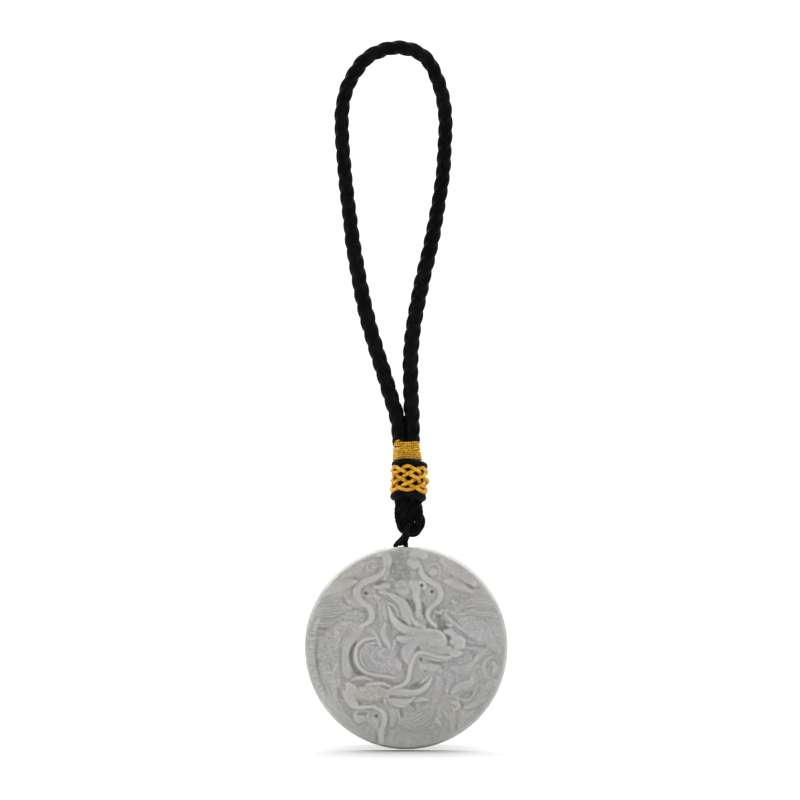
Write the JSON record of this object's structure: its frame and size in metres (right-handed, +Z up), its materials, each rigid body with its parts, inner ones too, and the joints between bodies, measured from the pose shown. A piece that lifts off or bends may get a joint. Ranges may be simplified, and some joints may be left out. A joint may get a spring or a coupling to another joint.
{
  "type": "jadeite pendant on a cord loop",
  "caption": "Round carved jadeite pendant hung on a twisted black cord loop, with a gold-bound woven knot above the stone.",
  "frame": {"origin": "inner top of the cord loop, where a hook or finger holds it", "axes": "+Z up along the hanging pendant, +X to the viewer's right, -Y towards the viewer, out of the carved face"},
  "size_m": [0.055, 0.0131, 0.1916],
  "materials": {
    "black_cord": "twisted satin cord",
    "gold_thread": "metallic thread",
    "jade": "polished, faintly translucent"
  },
  "bodies": {
    "cord": {"loop_rope": "black_cord", "gold_wrap": "gold_thread", "upper_collar": "black_cord", "lattice_strand_a": "gold_thread", "lattice_strand_b": "gold_thread", "lower_collar": "black_cord", "knot_core": "black_cord", "rope_bight": "black_cord", "link_cord": "black_cord"},
    "pendant": {"jade_disc": "jade"}
  },
  "joints": [
    {"name": "disc_swing", "type": "hinge", "parent": "cord", "child": "pendant", "pos_m": [-0.0015, 0, -0.1354], "axis": [1, 0, 0], "range_deg": [-20, 20]}
  ]
}
